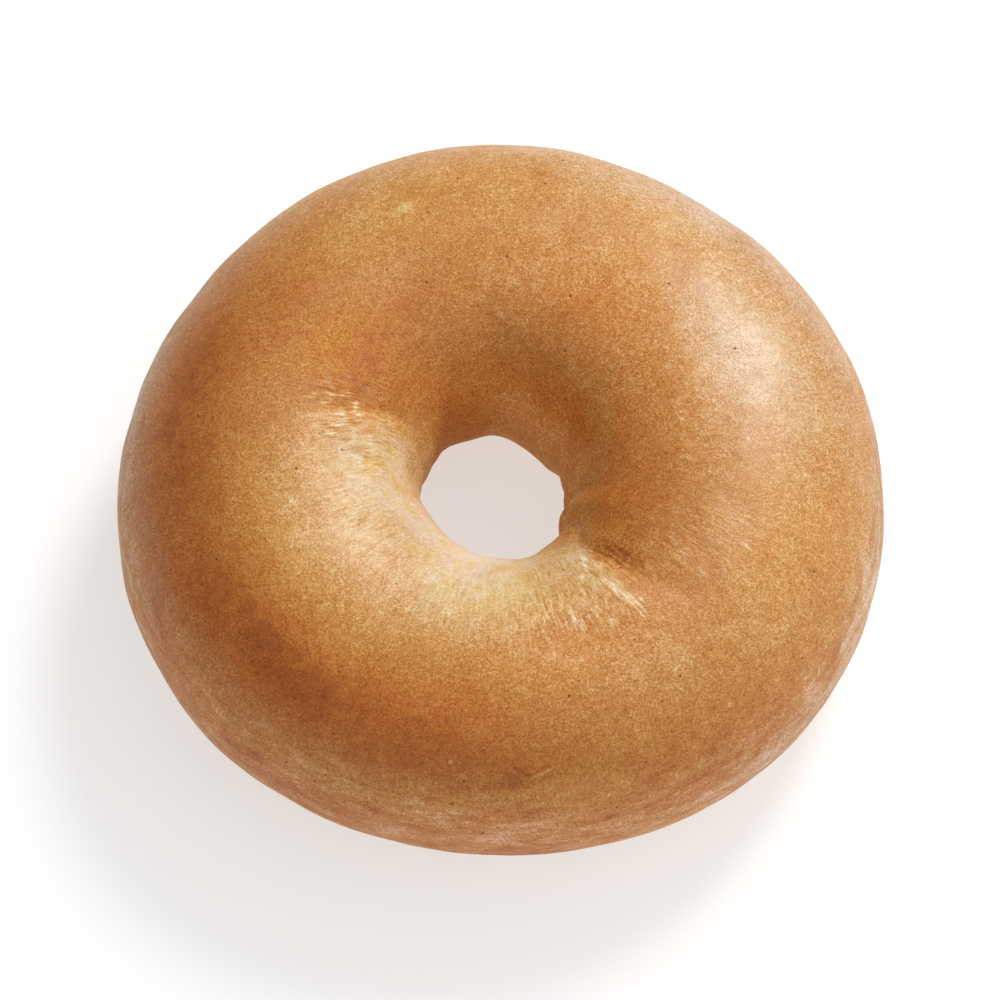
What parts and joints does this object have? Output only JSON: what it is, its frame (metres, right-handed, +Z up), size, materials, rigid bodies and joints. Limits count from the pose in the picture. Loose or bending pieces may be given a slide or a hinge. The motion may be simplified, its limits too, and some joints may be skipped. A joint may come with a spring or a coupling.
{
  "type": "sourdough bagel",
  "caption": "Round boiled and baked bread ring with a domed golden crust, a small uneven hole, two pinch creases and a flat underside.",
  "frame": {"origin": "middle of the flat underside, on the plane that the loaf rests on", "axes": "+Z up, out of the domed crust and along the hole; -Y towards the viewer of the picture; +X to the viewer's right"},
  "size_m": [0.1082, 0.1064, 0.0388],
  "materials": {
    "crust": "satin baked crust, golden brown on the crown, cream at the hole"
  },
  "bodies": {
    "root": {"bagel": "crust"}
  },
  "joints": []
}
